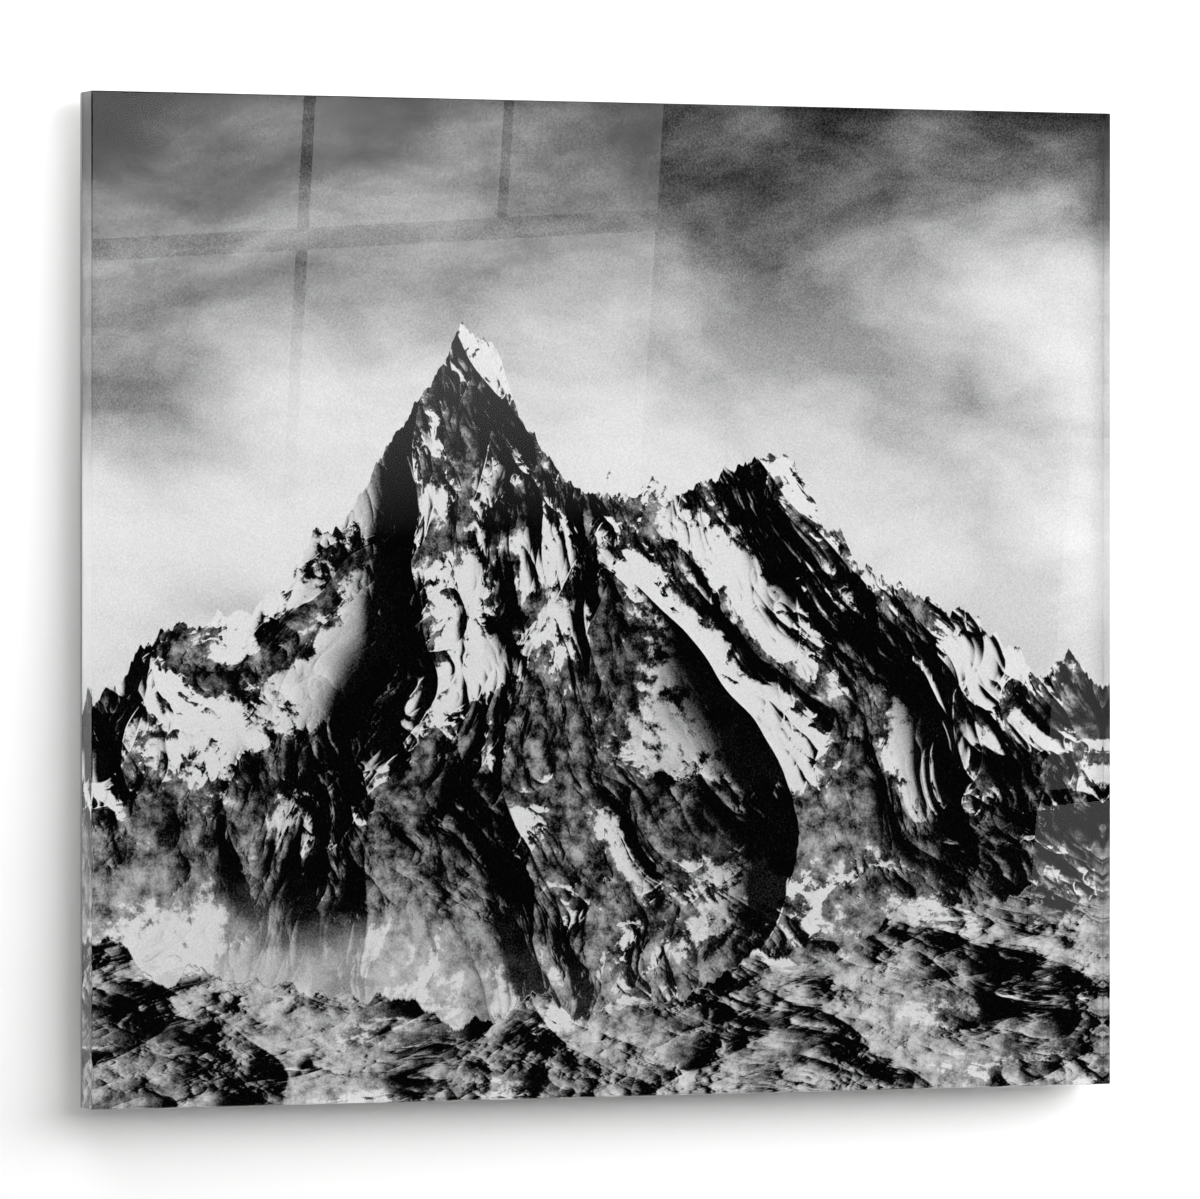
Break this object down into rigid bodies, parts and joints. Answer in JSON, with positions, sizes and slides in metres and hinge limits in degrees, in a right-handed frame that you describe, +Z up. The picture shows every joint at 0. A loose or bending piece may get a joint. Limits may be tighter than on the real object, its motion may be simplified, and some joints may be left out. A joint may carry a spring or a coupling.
{
  "type": "acrylic wall print",
  "caption": "Thick clear acrylic panel with a black-and-white landscape print behind it, on a stiff backing with a recessed metal frame that hangs it clear of the wall.",
  "frame": {"origin": "middle of the lower edge of the top channel's rear flange, which rests on the wall hooks", "axes": "+Z up, +Y into the wall, so the picture faces -Y and +X is to its right"},
  "size_m": [0.66, 0.0372, 0.6],
  "materials": {
    "clear_acrylic": "clear cast acrylic, polished face and edges",
    "photographic_print": "black-and-white photographic print, glossy through the acrylic",
    "lacquered_composite": "pale matt lacquer over a grey core",
    "anodised_aluminium": "natural anodised extrusion, satin"
  },
  "bodies": {
    "root": {"acrylic_sheet": "clear_acrylic", "print_film": "photographic_print", "backing_board": "lacquered_composite", "channel_top": "anodised_aluminium", "channel_right": "anodised_aluminium", "channel_bottom": "anodised_aluminium", "channel_left": "anodised_aluminium"}
  },
  "joints": []
}
